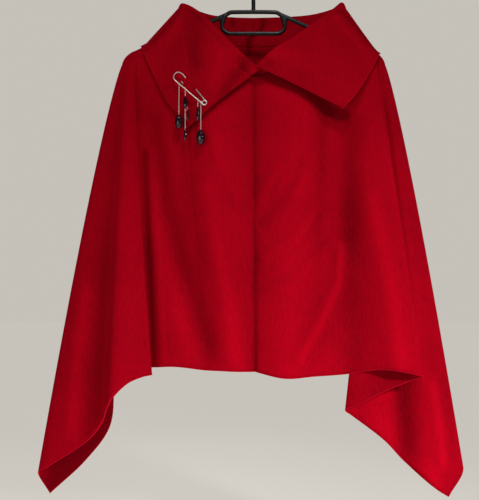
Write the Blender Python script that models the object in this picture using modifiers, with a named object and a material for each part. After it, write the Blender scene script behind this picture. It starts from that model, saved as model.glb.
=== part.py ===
"""A wide cape of thick felted wool on a plain clothes hanger, with a kilt pin and its beads in the collar.

Metres, +Z up, X to the viewer's right, the front towards -Y. The origin is the inner crown of the
hanger's hook, where a rod carries it. Left and right in names are the wearer's, so wearer's right is -X.
The cloth hangs from the shoulders in rays: each fold is a row of a table that says where its ray
leaves the shoulder line and where it reaches the hem.
"""

import math
from collections import namedtuple

import bmesh
import bpy
import numpy as np
from mathutils import Vector
from mathutils.bvhtree import BVHTree

# Cloth
CLOTH = 0.002
SEAM_GAP = 0.0003
HALF_GAP = SEAM_GAP / 2
SEAM_STRIP = 0.0025

# Hanger: a 7 mm tube, bent from tip to tip, with a loop under its middle and a hook over it
TUBE_RADIUS = 0.0035
BAR_Z = -0.0849
BAR_HALF = 0.037
ARM_TIP_X = 0.197
ARM_FALL = math.tan(math.radians(25.5))
LOOP_Z = -0.1227
LOOP_HALF = 0.053
LOOP_CORNER = 0.014
HOOK_RADIUS = 0.026
HOOK_CENTRE_Z = TUBE_RADIUS - HOOK_RADIUS
HOOK_STEM_TOP = -0.062
HOOK_JOIN = -50.0
HOOK_END = 200.0
HOOK_EASE = 0.011
BEND_X = (0.039, 0.046, 0.056)
BEND_DROP = 0.0003
BAR_BEND = 0.007

# Neck: a V in front, a shallow curve behind, both meeting the shoulder line beside the neck
NECK_HALF = 0.120
NECK_FRONT = (-0.050, -0.216)
NECK_BACK = (0.052, -0.126)
NECK_SPREAD = 0.8
NECK_RISE = {"front": 1.15, "back": 2.0}

# Shoulder: the cloth lies over the arm, turns down round its tip and rolls to the front and the back
RIDGE_OVER_ARM = (TUBE_RADIUS + 0.0005 + CLOTH / 2) / math.cos(math.radians(25.5))
RIDGE_RISE_AT_NECK = 0.0030
TIP_START_X = 0.196
TIP_RADIUS = 0.017
ROLL_DEPTH = 0.014
ROLL_DROP = 0.014
ROLL_ROWS = (0.0, 30.0, 60.0, 90.0)
LAST_SHOULDER_RUN = 2.96
CORNER_SHARE = 0.06

# Rays: the share of the way down at which each ring of the panel lies, and how soon folds gain depth
RAY_ROWS = (0.05, 0.12, 0.22, 0.36, 0.52, 0.68, 0.84, 1.0)
DEPTH_EASE = 0.6
OUTER_LAYER_COLUMNS = 10

# A row is one ray. run says where it leaves the shoulder line: 0 centre of the neck, 1 neck point,
# 2 hanger tip, 3 where the shoulder seam turns straight down. x, y, z is its hem end, ease the power
# by which it spreads sideways, and steps the facets to the next row.
Ray = namedtuple("Ray", "name run x y z ease steps")

FRONT_RIGHT_RAYS = (
    Ray("centre seam", 0.00, 0.0000, -0.047, -0.6825, 1.00, 2),
    Ray("first ridge", 0.50, -0.0441, -0.057, -0.6809, 1.00, 2),
    Ray("first trough", 1.00, -0.0768, -0.045, -0.6797, 1.00, 2),
    Ray("second ridge", 1.38, -0.1233, -0.058, -0.6749, 1.00, 2),
    Ray("valley", 1.62, -0.1640, -0.043, -0.6768, 1.00, 2),
    Ray("back fold in", 1.84, -0.2400, -0.033, -0.6820, 1.15, 1),
    Ray("back fold", 1.90, -0.2500, -0.037, -0.6837, 1.20, 1),
    Ray("back fold out", 1.94, -0.2400, -0.045, -0.6840, 1.20, 2),
    Ray("front fold in", 2.00, -0.1660, -0.066, -0.6845, 1.20, 1),
    Ray("front fold", 2.04, -0.1555, -0.072, -0.6850, 1.20, 1),
    Ray("front fold out", 2.10, -0.1680, -0.080, -0.6875, 1.15, 1),
    Ray("cascade rise", 2.20, -0.1880, -0.092, -0.6960, 1.00, 1),
    Ray("cascade ridge", 2.30, -0.2110, -0.099, -0.7180, 0.95, 1),
    Ray("ridge flank", 2.36, -0.2190, -0.080, -0.7355, 0.95, 1),
    Ray("cascade hollow", 2.42, -0.2230, -0.059, -0.7550, 0.92, 1),
    Ray("cascade face", 2.52, -0.2540, -0.049, -0.7853, 0.90, 2),
    Ray("outer fold in", 2.64, -0.3190, -0.042, -0.8280, 0.84, 1),
    Ray("outer fold", 2.70, -0.3320, -0.034, -0.8361, 0.83, 2),
    Ray("corner", 2.76, -0.3173, -0.020, -0.8703, 0.83, 2),
    Ray("side edge", 2.84, -0.2640, -0.014, -0.8211, 0.90, 1),
    Ray("inner turn", 2.92, -0.2290, -0.009, -0.7720, 0.95, 1),
    Ray("side seam", 3.00, -0.2250, 0.000, -0.7150, 0.95, 0),
)

FRONT_LEFT_RAYS = (
    Ray("centre seam", 0.00, 0.0000, -0.047, -0.6825, 1.00, 2),
    Ray("first swell", 0.55, 0.0454, -0.058, -0.6920, 1.00, 2),
    Ray("first trough", 1.00, 0.0900, -0.050, -0.6895, 1.00, 2),
    Ray("second trough", 1.30, 0.1387, -0.046, -0.6864, 1.00, 2),
    Ray("long ridge", 1.65, 0.1961, -0.066, -0.6781, 1.00, 2),
    Ray("front fold in", 1.95, 0.2450, -0.072, -0.6860, 0.95, 1),
    Ray("front fold", 2.05, 0.2540, -0.066, -0.6885, 0.95, 1),
    Ray("front fold out", 2.12, 0.2440, -0.059, -0.6925, 0.95, 2),
    Ray("behind", 2.20, 0.2006, -0.053, -0.7103, 1.00, 2),
    Ray("back fold out", 2.26, 0.1500, -0.050, -0.7350, 1.10, 1),
    Ray("back fold", 2.32, 0.1390, -0.044, -0.7410, 1.10, 1),
    Ray("back fold in", 2.36, 0.1500, -0.038, -0.7500, 1.10, 1),
    Ray("cascade face", 2.44, 0.2000, -0.036, -0.7880, 1.00, 1),
    Ray("cascade valley", 2.52, 0.2330, -0.026, -0.8221, 0.95, 1),
    Ray("cascade ridge", 2.60, 0.2750, -0.034, -0.8590, 0.88, 1),
    Ray("corner", 2.66, 0.2975, -0.028, -0.8735, 0.84, 2),
    Ray("outer fold", 2.74, 0.3250, -0.016, -0.8322, 0.83, 2),
    Ray("outer fold in", 2.82, 0.3030, -0.005, -0.8000, 0.83, 1),
    Ray("side seam", 3.00, 0.2350, 0.000, -0.7150, 0.95, 0),
)

BACK_RIGHT_RAYS = (
    Ray("centre", 0.00, 0.0000, 0.050, -0.6800, 1.00, 2),
    Ray("first ridge", 0.60, -0.0520, 0.062, -0.6790, 1.00, 2),
    Ray("first trough", 1.00, -0.1020, 0.050, -0.6780, 1.00, 2),
    Ray("second ridge", 1.50, -0.1550, 0.068, -0.6770, 1.00, 2),
    Ray("back fold in", 1.92, -0.2400, 0.072, -0.6800, 0.95, 1),
    Ray("back fold", 2.05, -0.2490, 0.066, -0.6810, 0.95, 1),
    Ray("back fold out", 2.12, -0.2400, 0.059, -0.6830, 0.95, 2),
    Ray("front fold out", 2.26, -0.2080, 0.047, -0.6900, 1.05, 1),
    Ray("front fold", 2.32, -0.1980, 0.041, -0.6930, 1.05, 1),
    Ray("front fold in", 2.38, -0.2080, 0.035, -0.6980, 1.05, 1),
    Ray("cascade face", 2.50, -0.2500, 0.031, -0.7600, 0.95, 1),
    Ray("cascade ridge", 2.60, -0.2850, 0.038, -0.8150, 0.88, 1),
    Ray("corner", 2.70, -0.3120, 0.028, -0.8520, 0.84, 2),
    Ray("outer fold", 2.78, -0.3180, 0.017, -0.8150, 0.84, 2),
    Ray("outer fold in", 2.86, -0.2900, 0.006, -0.7750, 0.85, 1),
    Ray("side seam", 3.00, -0.2250, 0.000, -0.7150, 0.95, 0),
)

BACK_LEFT_RAYS = (
    Ray("centre", 0.00, 0.0000, 0.050, -0.6800, 1.00, 2),
    Ray("first ridge", 0.50, 0.0420, 0.060, -0.6790, 1.00, 2),
    Ray("first trough", 1.00, 0.0950, 0.048, -0.6780, 1.00, 2),
    Ray("second ridge", 1.55, 0.1600, 0.070, -0.6770, 1.00, 2),
    Ray("back fold in", 1.92, 0.2380, 0.072, -0.6800, 0.95, 1),
    Ray("back fold", 2.05, 0.2480, 0.066, -0.6820, 0.95, 1),
    Ray("back fold out", 2.12, 0.2380, 0.059, -0.6850, 0.95, 2),
    Ray("front fold out", 2.26, 0.1800, 0.047, -0.7000, 1.05, 1),
    Ray("front fold", 2.32, 0.1690, 0.041, -0.7050, 1.05, 1),
    Ray("front fold in", 2.38, 0.1800, 0.035, -0.7120, 1.05, 1),
    Ray("cascade face", 2.50, 0.2350, 0.031, -0.7800, 0.95, 1),
    Ray("cascade ridge", 2.60, 0.2700, 0.038, -0.8180, 0.88, 1),
    Ray("corner", 2.70, 0.3020, 0.028, -0.8480, 0.84, 2),
    Ray("outer fold", 2.78, 0.3140, 0.018, -0.8150, 0.84, 2),
    Ray("outer fold in", 2.86, 0.2920, 0.006, -0.7780, 0.85, 1),
    Ray("side seam", 3.00, 0.2350, 0.000, -0.7150, 0.95, 0),
)

# Collar: a row is one section, from the neck seam up the stand to the roll line and down the fall
# to its edge. side says front or back neck, run where on it; roll and edge are the two lines' points.
Section = namedtuple("Section", "name face run roll_x roll_y roll_z edge_x edge_y edge_z steps")

COLLAR_RIGHT = (
    Section("front edge", "front", 0.04, 0.0075, -0.0590, -0.2060, -0.1052, -0.0400, -0.2962, 3),
    Section("point", "front", 0.25, -0.0260, -0.0590, -0.1747, -0.1216, -0.0390, -0.2738, 3),
    Section("fall front", "front", 0.50, -0.0519, -0.0545, -0.1468, -0.1391, -0.0360, -0.2527, 3),
    Section("fall side", "front", 0.75, -0.0803, -0.0430, -0.1122, -0.1580, -0.0300, -0.2173, 3),
    Section("shoulder front", "front", 0.93, -0.1048, -0.0190, -0.0841, -0.1759, -0.0180, -0.1782, 5),
    Section("peak", "front", 1.00, -0.1196, 0.0030, -0.0690, -0.1873, 0.0020, -0.1480, 3),
    Section("shoulder back", "back", 0.90, -0.1090, 0.0200, -0.0681, -0.1780, 0.0280, -0.1620, 3),
    Section("back side", "back", 0.62, -0.0755, 0.0450, -0.0695, -0.1320, 0.0600, -0.1740, 3),
    Section("back", "back", 0.30, -0.0369, 0.0570, -0.0690, -0.0680, 0.0760, -0.1810, 3),
    Section("centre back", "back", 0.00, -HALF_GAP, 0.0610, -0.0685, -HALF_GAP, 0.0800, -0.1830, 0),
)

COLLAR_LEFT = (
    Section("front edge", "front", 0.10, 0.0040, -0.0670, -0.2032, 0.1410, -0.0600, -0.2682, 3),
    Section("point", "front", 0.25, 0.0344, -0.0600, -0.1713, 0.1620, -0.0520, -0.2448, 3),
    Section("fall front", "front", 0.50, 0.0640, -0.0500, -0.1506, 0.1766, -0.0440, -0.2222, 3),
    Section("fall side", "front", 0.75, 0.0949, -0.0400, -0.1234, 0.1902, -0.0340, -0.2003, 3),
    Section("shoulder front", "front", 0.93, 0.1273, -0.0220, -0.0946, 0.2024, -0.0180, -0.1760, 5),
    Section("peak", "front", 1.00, 0.1496, 0.0020, -0.0677, 0.2088, 0.0020, -0.1600, 3),
    Section("shoulder back", "back", 0.90, 0.1428, 0.0200, -0.0685, 0.1960, 0.0290, -0.1690, 3),
    Section("back side", "back", 0.62, 0.1094, 0.0440, -0.0690, 0.1450, 0.0600, -0.1780, 3),
    Section("back", "back", 0.30, 0.0608, 0.0560, -0.0688, 0.0720, 0.0760, -0.1820, 3),
    Section("centre back", "back", 0.00, HALF_GAP, 0.0610, -0.0685, HALF_GAP, 0.0800, -0.1830, 0),
)
STAND_ROWS = 3
FALL_ROWS = 6
ROLL_ROWS_A_SIDE = 3
ROLL_REACH = 0.0045
ROLL_REACH_SHARE = 0.22
ROLL_SHARE_STAND = 0.25
ROLL_SHARE_FALL = 0.11
ARM_CLEAR_Y = -0.012
V_HALF = 0.02
FALL_LIFT = 0.0052
NECK_STEP_CENTRE = 0.0020
NECK_STEP_SIDE = 0.0060

# Kilt pin: one wire, hooked at its upper end, coiled at its lower one
WIRE = 0.0018
PIN_Y_HOOK = -0.0446
PIN_Y_COIL = -0.0600
PIN_HOOK = ((-0.1099, -0.2178), (-0.1145, -0.2115), (-0.1189, -0.2079), (-0.1235, -0.2066),
            (-0.1272, -0.2085), (-0.1292, -0.2120), (-0.1293, -0.2160), (-0.1271, -0.2200))
COIL_CENTRE = (-0.0792, -0.2610)
COIL_RADIUS = 0.0035
COIL_TURNS = 1.5
COIL_PITCH = 0.0020
COIL_STEPS = 12
COIL_START = 225.0
ARM_END = (-0.0926, -0.0514, -0.2385)
POINT_START = (-0.1135, -0.0435, -0.2262)
POINT_END = (-0.1172, -0.0453, -0.2215)
RING_RADIUS = 0.0026
RING_SAG = 0.0005
RING_WIRE = 0.0005
CHAIN_RADIUS = 0.00049
BEAD_GAP = 0.0003
BRANCH_RISE = 0.0009

# Drops: x of each ring on the pin's bar, the bead's own height and width, and the chain that carries it
Bead = namedtuple("Bead", "node x top bottom width")
DROP_RINGS = {"drop_1": -0.1205, "drop_2": -0.1102, "drop_3": -0.0896, "drop_4": -0.0847}
BEADS = (
    Bead("drop_1_bead", -0.1205, -0.2775, -0.3000, 0.0132),
    Bead("drop_2_bead_upper", -0.1102, -0.2481, -0.2677, 0.0076),
    Bead("drop_2_bead_lower", -0.1098, -0.3013, -0.3214, 0.0050),
    Bead("drop_2_bead_side", -0.1058, -0.2690, -0.2885, 0.0042),
    Bead("drop_3_bead", -0.0896, -0.2677, -0.2907, 0.0054),
    Bead("drop_4_bead", -0.0847, -0.3052, -0.3293, 0.0150),
)


def neck_point(face, side, run):
    """A point of the neck seam: run 0 at the centre, 1 at the neck point on the shoulder."""
    centre_y, centre_z = NECK_FRONT if face == "front" else NECK_BACK
    shoulder_z = ridge_z(NECK_HALF)
    x = side * NECK_HALF * run**NECK_SPREAD
    y = centre_y * (1 - run**3)
    z = centre_z + (shoulder_z - centre_z) * run ** NECK_RISE[face]
    return np.array([x, y, z])


def ridge_z(x):
    """Height of the cloth's middle over the hanger's arm: on it at the tip, a little off it at the neck."""
    lifted = RIDGE_RISE_AT_NECK * (TIP_START_X - abs(x)) / (TIP_START_X - NECK_HALF)
    return arm_z(x) + RIDGE_OVER_ARM + lifted


def shoulder_point(face, side, run):
    """A point of the line from which the rays hang, and its seam gap towards this panel's face."""
    gap = -HALF_GAP if face == "front" else HALF_GAP
    if run < 1:
        point = neck_point(face, side, run)
    elif run < 2:
        x = NECK_HALF + (TIP_START_X - NECK_HALF) * (run - 1)
        point = np.array([side * x, 0.0, ridge_z(x)])
    else:
        slope = math.atan(ARM_FALL)
        centre_x = TIP_START_X - TIP_RADIUS * math.sin(slope)
        centre_z = ridge_z(TIP_START_X) - TIP_RADIUS * math.cos(slope)
        turn = (math.pi / 2 - slope) * (3 - run)
        x = centre_x + TIP_RADIUS * math.cos(turn)
        point = np.array([side * x, 0.0, centre_z + TIP_RADIUS * math.sin(turn)])
    if run >= 1 or face == "back":
        point[1] += gap * min(1.0, run)
    return point


def through(rows, steps):
    """A smooth curve through rows of numbers, with the given steps from each row to the next."""
    rows = np.array(rows, float)
    chord = np.linalg.norm(np.diff(rows[:, :3], axis=0), axis=1) ** 0.5
    slope = np.diff(rows, axis=0) / chord[:, None]
    tangent = np.empty_like(rows)
    tangent[0], tangent[-1] = slope[0], slope[-1]
    before, after = chord[:-1, None], chord[1:, None]
    tangent[1:-1] = (slope[:-1] * after + slope[1:] * before) / (before + after)
    found = []
    for i, count in enumerate(steps[: len(rows) - 1]):
        for k in range(count):
            t = k / count
            found.append(
                (2 * t**3 - 3 * t**2 + 1) * rows[i]
                + (t**3 - 2 * t**2 + t) * chord[i] * tangent[i]
                + (3 * t**2 - 2 * t**3) * rows[i + 1]
                + (t**3 - t**2) * chord[i] * tangent[i + 1]
            )
    found.append(rows[-1])
    return np.array(found)


def panel_columns(rays):
    """Rays of a panel, those of its table and the ones between, as rows x, y, z, run, ease."""
    return through([(r.x, r.y, r.z, r.run, r.ease) for r in rays], [r.steps for r in rays])


def ray_points(face, side, column):
    """One ray from the shoulder line over the roll and down to the hem."""
    x, y, z, run, ease = column
    start = shoulder_point(face, side, run)
    outward = -1 if face == "front" else 1
    turn = max(0.0, run - 2) * math.pi / 2
    depth = ROLL_DEPTH * min(1.0, run)
    points = [start]
    start = start + np.array([0.0, outward * SEAM_STRIP * min(1.0, run), 0.0])
    if run < 1:
        start[2] -= SEAM_STRIP * (1 - run)
    for angle in np.radians(ROLL_ROWS):
        reach = depth * math.sin(angle)
        across, out = side * math.sin(turn) * reach, outward * math.cos(turn) * reach
        points.append(start + np.array([across, out, -ROLL_DROP * (1 - math.cos(angle))]))
    root = points[-1]
    hem = np.array([x, y, z])
    for share in RAY_ROWS:
        spread = np.array([share**ease, share**DEPTH_EASE, share])
        points.append(root + (hem - root) * spread)
    return points


def panel_grid(face, side, rays):
    columns = panel_columns(rays)
    grid = np.array([ray_points(face, side, column) for column in columns])
    outward = -1 if face == "front" else 1
    grid[-1, :, 1] = outward * HALF_GAP
    grid[-1, 1] = grid[-1, 0] + (grid[-1, 2] - grid[-1, 0]) * CORNER_SHARE
    beside_seam = grid[-1] + np.array([0.0, outward * SEAM_STRIP, 0.0])
    beside_seam[0] = shoulder_point(face, side, LAST_SHOULDER_RUN)
    grid = np.concatenate([grid[:-1], [beside_seam], grid[-1:]])
    if face == "front":
        beside_centre = grid[0] + np.array([side * SEAM_STRIP, 0.0, 0.0])
        grid[0, :, 0] = side * HALF_GAP
        grid = np.concatenate([grid[:1], [beside_centre], grid[1:]])
    return grid


def front_depth(grid, x, z):
    """The y of a front panel's outer layer at x and z, so that the collar can lie on it."""
    layer = grid[:OUTER_LAYER_COLUMNS, len(ROLL_ROWS):]
    heights = layer[:, :, 2]
    across = [np.interp(-z, -heights[i], layer[i, :, 0]) for i in range(len(layer))]
    depth = [np.interp(-z, -heights[i], layer[i, :, 1]) for i in range(len(layer))]
    order = np.argsort(across)
    return float(np.interp(x, np.array(across)[order], np.array(depth)[order]))


def surface_tree(grids):
    """The panels' middle surfaces, faces outwards, as one search tree for cloth that lies on them."""
    points, faces = [], []
    for grid in grids:
        down = grid.shape[1]
        first = len(points)
        points += [Vector(p) for column in grid for p in column]
        front_faces_out = (grid[-1, 0, 0] < 0) == (grid[len(grid) // 4, -1, 1] < 0)
        for i in range(len(grid) - 1):
            for j in range(down - 1):
                a = first + i * down + j
                face = (a, a + down, a + down + 1, a + 1)
                faces.append(face if front_faces_out else face[::-1])
    return BVHTree.FromPolygons(points, faces)


def kept_off(tree, point):
    """The point, moved out along the panel's normal where it would lie closer than the fall may."""
    place, normal, _, distance = tree.find_nearest(Vector(point))
    if distance > 3 * FALL_LIFT:
        return point
    if (Vector(point) - place).dot(normal) >= FALL_LIFT:
        return point
    return np.array(place + normal * FALL_LIFT)


def collar_grid(side, sections, panel, tree):
    """Sections of the collar from the neck seam up the stand, round the roll and down the fall."""
    rows = []
    for s in sections:
        round_neck = s.run if s.face == "front" else 2 - s.run
        rows.append((s.roll_x, s.roll_y, s.roll_z, s.edge_x, s.edge_y, s.edge_z, round_neck))
    grid = []
    for row in through(rows, [s.steps for s in sections]):
        roll, edge, round_neck = row[0:3], row[3:6], row[6]
        face = "front" if round_neck <= 1 else "back"
        seam = neck_point(face, side, round_neck if face == "front" else 2 - round_neck)
        stand = roll - seam
        sideness = (1 - abs(1 - round_neck)) ** 0.5
        step = NECK_STEP_CENTRE + (NECK_STEP_SIDE - NECK_STEP_CENTRE) * sideness
        neck = seam + stand / np.linalg.norm(stand) * step
        grid.append(collar_section(neck, roll, edge, panel, tree))
    grid = np.array(grid)
    grid[-1, :, 0] = side * HALF_GAP
    return grid


def collar_section(neck, roll, edge, panel, tree):
    """The stand, a round roll whose crest is the roll point, and the fall."""
    before = roll + (neck - roll) * ROLL_SHARE_STAND
    after = roll + (edge - roll) * ROLL_SHARE_FALL
    over = (edge - roll) / np.linalg.norm(edge - roll) - (neck - roll) / np.linalg.norm(neck - roll)
    reach = min(ROLL_REACH, ROLL_REACH_SHARE * np.linalg.norm(neck - roll))
    over *= reach / np.linalg.norm(over)
    points = [neck + (before - neck) * k / STAND_ROWS for k in range(STAND_ROWS)]
    for start, bend, end in ((before, roll - over, roll), (roll, roll + over, after)):
        for k in range(ROLL_ROWS_A_SIDE):
            t = k / ROLL_ROWS_A_SIDE
            points.append((1 - t) ** 2 * start + 2 * t * (1 - t) * bend + t**2 * end)
    for k in range(FALL_ROWS + 1):
        point = after + (edge - after) * k / FALL_ROWS
        if point[1] < ARM_CLEAR_Y and abs(point[0]) > V_HALF:
            point[1] = min(point[1], front_depth(panel, point[0], point[2]) - FALL_LIFT)
        if k > 0:
            point = kept_off(tree, point)
        points.append(point)
    return points


def own_material(name, colour, roughness, metallic=0.0):
    material = bpy.data.materials.new(name)
    material.use_nodes = True
    shader = material.node_tree.nodes["Principled BSDF"]
    shader.inputs["Base Color"].default_value = (*colour, 1.0)
    shader.inputs["Roughness"].default_value = roughness
    shader.inputs["Metallic"].default_value = metallic
    return material


def place(obj, collection, material):
    collection.objects.link(obj)
    obj.data.materials.append(material)
    return obj


def cloth_wall(name, grid, collection, material):
    """An open sheet through the grid's points, given the cloth's thickness."""
    across, down = grid.shape[:2]
    sheet = bmesh.new()
    points = [[sheet.verts.new(grid[i, j]) for j in range(down)] for i in range(across)]
    for i in range(across - 1):
        for j in range(down - 1):
            sheet.faces.new((points[i][j], points[i + 1][j], points[i + 1][j + 1], points[i][j + 1]))
    bmesh.ops.recalc_face_normals(sheet, faces=sheet.faces)
    mesh = bpy.data.meshes.new(name)
    sheet.to_mesh(mesh)
    sheet.free()
    mesh.shade_smooth()
    obj = place(bpy.data.objects.new(name, mesh), collection, material)
    wall = obj.modifiers.new("Cloth thickness", "SOLIDIFY")
    wall.thickness = CLOTH
    wall.offset = 0.0
    return obj


def tube(name, points, radius, collection, material):
    curve = bpy.data.curves.new(name, "CURVE")
    curve.dimensions = "3D"
    curve.bevel_depth = radius
    curve.bevel_resolution = 2
    curve.use_fill_caps = True
    spline = curve.splines.new("POLY")
    spline.points.add(len(points) - 1)
    for target, point in zip(spline.points, points):
        target.co = (*point, 1.0)
    return place(bpy.data.objects.new(name, curve), collection, material)


def arc(centre, radius, start, end, count):
    """Points of an arc in the XZ plane, angles in degrees from +X towards +Z."""
    angles = np.radians(np.linspace(start, end, count))
    return [(centre[0] + radius * math.cos(a), 0.0, centre[1] + radius * math.sin(a)) for a in angles]


def arm_z(x):
    return BAR_Z - (abs(x) - BAR_HALF) * ARM_FALL


def hanger_bar(collection, material):
    first, second, last = BEND_X
    right = [(BAR_HALF - BAR_BEND, 0.0, BAR_Z), (first, 0.0, BAR_Z - 2 * BEND_DROP)]
    right += [(second, 0.0, arm_z(second) - BEND_DROP), (last, 0.0, arm_z(last))]
    right += [(x, 0.0, arm_z(x)) for x in (0.100, 0.150, ARM_TIP_X)]
    left = [(-x, y, z) for x, y, z in reversed(right)]
    return tube("hanger_bar", left + right, TUBE_RADIUS, collection, material)


def hanger_loop(collection, material):
    slope = math.atan(ARM_FALL)
    top = np.array([LOOP_HALF + 0.003, 0.0, arm_z(LOOP_HALF + 0.003)])
    square_to_arm = np.array([-math.sin(slope), 0.0, -math.cos(slope)])
    ends = [tuple(top + square_to_arm * (TUBE_RADIUS + SEAM_GAP + more)) for more in (0.003, 0.0)]
    corner = (LOOP_HALF - LOOP_CORNER, LOOP_Z + LOOP_CORNER)
    right = arc(corner, LOOP_CORNER, -90, 0, 6) + ends
    left = [(-x, y, z) for x, y, z in reversed(right)]
    return tube("hanger_loop", left + right, TUBE_RADIUS, collection, material)


def hanger_hook(collection, material):
    base = BAR_Z + TUBE_RADIUS + SEAM_GAP
    turn_start = math.radians(HOOK_JOIN)
    centre = np.array([0.0, 0.0, HOOK_CENTRE_Z])
    join = centre + HOOK_RADIUS * np.array([math.cos(turn_start), 0.0, math.sin(turn_start)])
    away = np.array([-math.sin(turn_start), 0.0, math.cos(turn_start)])
    stem_top = np.array([0.0, 0.0, HOOK_STEM_TOP])
    bend = []
    first, second = stem_top + np.array([0, 0, HOOK_EASE]), join - away * HOOK_EASE
    for t in np.linspace(0, 1, 6)[:-1]:
        near = (1 - t) ** 3 * stem_top + 3 * t * (1 - t) ** 2 * first
        bend.append(near + 3 * t**2 * (1 - t) * second + t**3 * join)
    crown = arc((0.0, HOOK_CENTRE_Z), HOOK_RADIUS, HOOK_JOIN, HOOK_END, 18)
    points = [(0.0, 0.0, base)] + [tuple(p) for p in bend] + crown
    return tube("hanger_hook", points, TUBE_RADIUS, collection, material)


def pin_wire_points():
    """The wire from its hook down the bar, round the coil and back along the arm into the cloth."""
    points = [(x, pin_y(x), z) for x, z in PIN_HOOK]
    for k in range(int(COIL_TURNS * COIL_STEPS) + 1):
        angle = math.radians(COIL_START + 360 * k / COIL_STEPS)
        x = COIL_CENTRE[0] + COIL_RADIUS * math.cos(angle)
        z = COIL_CENTRE[1] + COIL_RADIUS * math.sin(angle)
        points.append((x, PIN_Y_COIL + COIL_PITCH * k / COIL_STEPS, z))
    return points + [ARM_END]


def pin_y(x):
    """How far in front the pin's bar lies at x: it follows the collar, which stands forward at the coil."""
    share = (x - PIN_HOOK[-1][0]) / (COIL_CENTRE[0] - PIN_HOOK[-1][0])
    return PIN_Y_HOOK + (PIN_Y_COIL - PIN_Y_HOOK) * max(0.0, share)


def bar_z(x):
    """Height of the pin's bar at x."""
    start = PIN_HOOK[-1]
    to_coil = COIL_RADIUS * math.sqrt(0.5)
    end = (COIL_CENTRE[0] - to_coil, COIL_CENTRE[1] - to_coil)
    return start[1] + (end[1] - start[1]) * (x - start[0]) / (end[0] - start[0])


def joined(name, pieces, collection, material):
    """One mesh from overlapping pieces, by Boolean unions."""
    first = pieces[0]
    for other in pieces[1:]:
        union = first.modifiers.new("Join", "BOOLEAN")
        union.operation = "UNION"
        union.object = other
    graph = bpy.context.evaluated_depsgraph_get()
    mesh = bpy.data.meshes.new_from_object(first.evaluated_get(graph))
    where = first.matrix_world.copy()
    for piece in pieces:
        bpy.data.objects.remove(piece)
    mesh.name = name
    mesh.materials.clear()
    obj = place(bpy.data.objects.new(name, mesh), collection, material)
    obj.matrix_world = where
    return obj


def ring_with_chain(name, x, bottom, collection, material):
    """A jump ring that hangs on the pin's bar, with a fine chain's outline below it, down to the bead."""
    y, z = pin_y(x), bar_z(x) - RING_SAG
    bpy.ops.mesh.primitive_torus_add(
        major_radius=RING_RADIUS, minor_radius=RING_WIRE, major_segments=14, minor_segments=6,
        location=(x, y, z), rotation=(0, math.pi / 2, 0),
    )
    ring = bpy.context.object
    top = z - RING_RADIUS
    bpy.ops.mesh.primitive_cylinder_add(
        vertices=8, radius=CHAIN_RADIUS, depth=top - bottom, location=(x, y, (top + bottom) / 2),
    )
    return joined(name, [ring, bpy.context.object], collection, material)


def bead(spec, ring_x, collection, material):
    bpy.ops.mesh.primitive_uv_sphere_add(segments=12, ring_count=8, radius=0.5)
    obj = bpy.context.object
    for vertex in obj.data.vertices:
        vertex.co.x *= spec.width
        vertex.co.y *= spec.width
        vertex.co.z *= spec.top - spec.bottom
    obj.location = (spec.x, pin_y(ring_x), (spec.top + spec.bottom) / 2)
    obj.name = spec.node
    obj.data.shade_smooth()
    for owner in list(obj.users_collection):
        owner.objects.unlink(obj)
    return place(obj, collection, material)


def drops(collection, chain_metal, bead_glass):
    specs = {spec.node: spec for spec in BEADS}
    for drop, x in DROP_RINGS.items():
        highest = max(spec.top for spec in BEADS if spec.node.startswith(drop))
        ring_with_chain(f"{drop}_chain", x, highest + BEAD_GAP, collection, chain_metal)
    upper, lower = specs["drop_2_bead_upper"], specs["drop_2_bead_lower"]
    side = specs["drop_2_bead_side"]
    y = pin_y(DROP_RINGS["drop_2"])
    branch_z = side.top + BRANCH_RISE
    link = [(upper.x, y, upper.bottom - BEAD_GAP), (lower.x, y, lower.top + BEAD_GAP)]
    branch = [(upper.x - CHAIN_RADIUS, y, branch_z), (side.x + CHAIN_RADIUS / 2, y, branch_z)]
    pieces = [solid_tube(points, CHAIN_RADIUS, collection, chain_metal) for points in (link, branch)]
    joined("drop_2_link", pieces, collection, chain_metal)
    for spec in BEADS:
        bead(spec, DROP_RINGS[spec.node[:6]], collection, bead_glass)


def solid_tube(points, radius, collection, material):
    """A tube as a closed mesh, so that it can be joined."""
    curve = tube("guide", points, radius, collection, material)
    graph = bpy.context.evaluated_depsgraph_get()
    mesh = bpy.data.meshes.new_from_object(curve.evaluated_get(graph))
    bpy.data.objects.remove(curve)
    shape = bmesh.new()
    shape.from_mesh(mesh)
    bmesh.ops.remove_doubles(shape, verts=shape.verts, dist=1e-6)
    shape.to_mesh(mesh)
    shape.free()
    mesh.materials.clear()
    return place(bpy.data.objects.new("guide", mesh), collection, material)


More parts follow.
